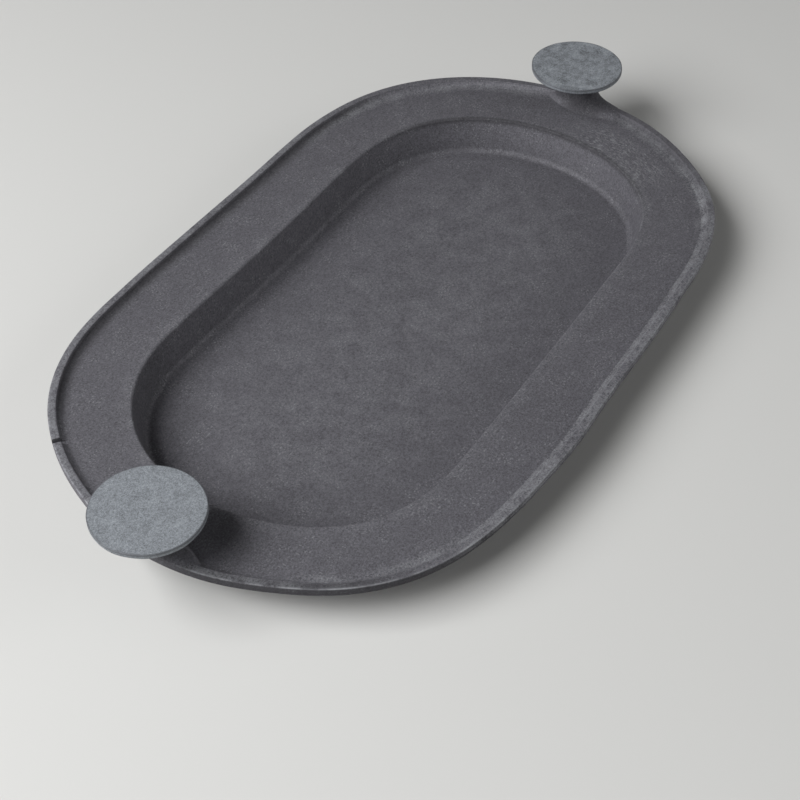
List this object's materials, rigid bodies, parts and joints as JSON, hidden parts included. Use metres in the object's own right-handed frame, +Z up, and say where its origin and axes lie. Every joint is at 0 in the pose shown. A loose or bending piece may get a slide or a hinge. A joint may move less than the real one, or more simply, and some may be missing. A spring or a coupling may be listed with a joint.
{
  "type": "serving tray",
  "caption": "Oblong zinc serving tray with a flat brim, a sunk well, a coved edge moulding and a raised disc knob on a flared stem at each end.",
  "frame": {"origin": "middle of the underside that the tray stands on", "axes": "+X along the tray towards the right-hand knob, +Y across the tray towards its far long side, +Z up"},
  "size_m": [0.5488, 0.298, 0.0559],
  "materials": {
    "tarnished_zinc": "dark grey tarnished zinc, matt and finely speckled, with pale scuffs",
    "raw_zinc": "lighter bluish bare zinc, matt and mottled",
    "fastener_steel": "satin zinc plate"
  },
  "bodies": {
    "root": {"tray_pan": "tarnished_zinc", "edge_moulding": "tarnished_zinc", "knob_stem_left": "tarnished_zinc", "knob_stem_right": "tarnished_zinc", "knob_disc_left": "raw_zinc", "knob_disc_right": "raw_zinc", "knob_washer_left": "fastener_steel", "knob_washer_right": "fastener_steel", "knob_screw_left": "fastener_steel", "knob_screw_right": "fastener_steel"}
  },
  "joints": []
}
